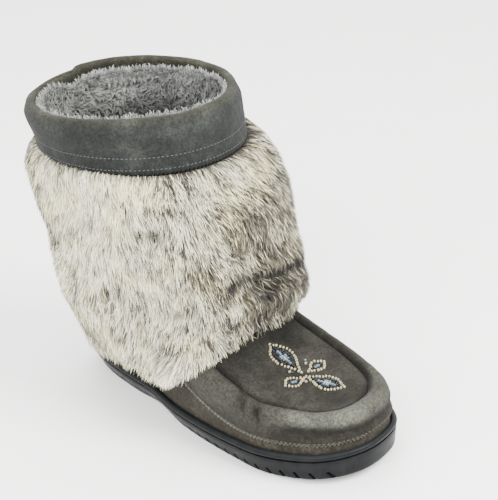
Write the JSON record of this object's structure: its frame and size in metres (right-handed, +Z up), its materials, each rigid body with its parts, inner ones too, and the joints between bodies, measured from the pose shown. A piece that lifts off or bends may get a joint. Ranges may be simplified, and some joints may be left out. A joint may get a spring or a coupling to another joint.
{
  "type": "mukluk boot",
  "caption": "Short slip-on mukluk boot for the right foot: moccasin vamp with a beaded motif, deep fur shaft, folded suede cuff and a lugged rubber cup sole.",
  "frame": {"origin": "on the floor under the centre of the heel, at the middle of the heel's flat", "axes": "+Z up, toe towards -Y, heel towards +Y, the wearer's outer side towards -X"},
  "size_m": [0.157, 0.2866, 0.2195],
  "materials": {
    "rubber": "matt moulded rubber with a soft sheen on the lip",
    "lining": "short curly fleece pile",
    "quarter_suede": "brown-grey suede, napped",
    "vamp_suede": "grey suede, napped, rubbed lighter on the roll",
    "cuff_suede": "dark grey suede, napped",
    "fur": "deep rabbit fur, grey with cream tips",
    "beads": "small glossy seed beads in black, blue and cream"
  },
  "bodies": {
    "root": {"outsole": "rubber", "insole": "lining", "upper": "quarter_suede", "vamp": "vamp_suede", "plug": "vamp_suede", "fur_sleeve": "fur", "cuff": "cuff_suede", "bead_leaf_back": "beads", "bead_leaf_front": "beads", "bead_leaf_lateral": "beads", "bead_leaf_medial": "beads"}
  },
  "joints": []
}
